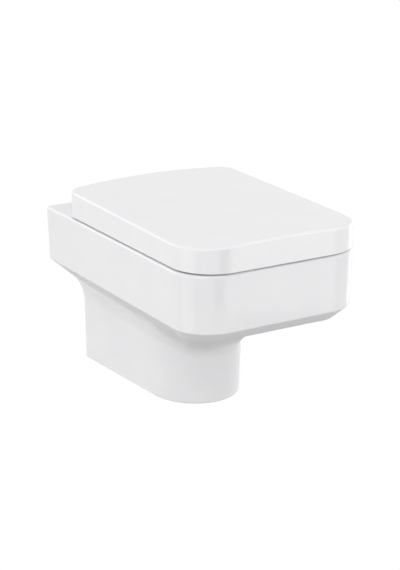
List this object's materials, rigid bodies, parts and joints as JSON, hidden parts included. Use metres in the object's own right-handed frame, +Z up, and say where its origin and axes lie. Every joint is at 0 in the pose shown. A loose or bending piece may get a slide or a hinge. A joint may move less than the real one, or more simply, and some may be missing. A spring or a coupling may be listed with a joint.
{
  "type": "wall hung toilet",
  "caption": "Wall hung toilet with a square-shouldered rim block on a round-fronted skirt, soft-close seat and thick wrap-over cover.",
  "frame": {"origin": "midway between the two wall studs, on the wall plane", "axes": "+Z up, +X to the right seen from the front, +Y into the wall; the front faces -Y"},
  "size_m": [0.3596, 0.554, 0.3844],
  "materials": {
    "china": "gloss",
    "galvanised_steel": "satin",
    "zinc_steel": "satin",
    "stainless": "satin",
    "chrome": "polished",
    "brass": "satin",
    "nylon": "matte",
    "rubber": "matte",
    "pad": "matte",
    "damper": "matte",
    "duroplast": "gloss"
  },
  "bodies": {
    "pan": {"pan_body": "china", "wall_brackets": "galvanised_steel", "stud_washers": "galvanised_steel", "stud_nuts": "galvanised_steel", "lug_bushes": "nylon", "lock_screws": "zinc_steel", "base_washers": "rubber", "hinge_bases": "stainless", "top_fix_bolts": "stainless", "expansion_bushes": "rubber", "bush_nuts": "brass", "hinge_posts": "chrome", "post_set_screws": "stainless", "hinge_pins": "stainless"},
    "seat": {"seat_ring": "duroplast", "seat_buffers": "pad", "seat_damper": "damper", "seat_bush": "nylon"},
    "cover": {"cover": "duroplast", "cover_buffers": "pad", "cover_damper": "damper", "cover_bush": "nylon"}
  },
  "joints": [
    {"name": "seat_hinge", "type": "hinge", "parent": "pan", "child": "seat", "pos_m": [0, -0.062, 0.116], "axis": [-1, 0, 0], "range_deg": [0, 93]},
    {"name": "cover_hinge", "type": "hinge", "parent": "seat", "child": "cover", "pos_m": [0, -0.062, 0.116], "axis": [-1, 0, 0], "range_deg": [0, 93]}
  ]
}
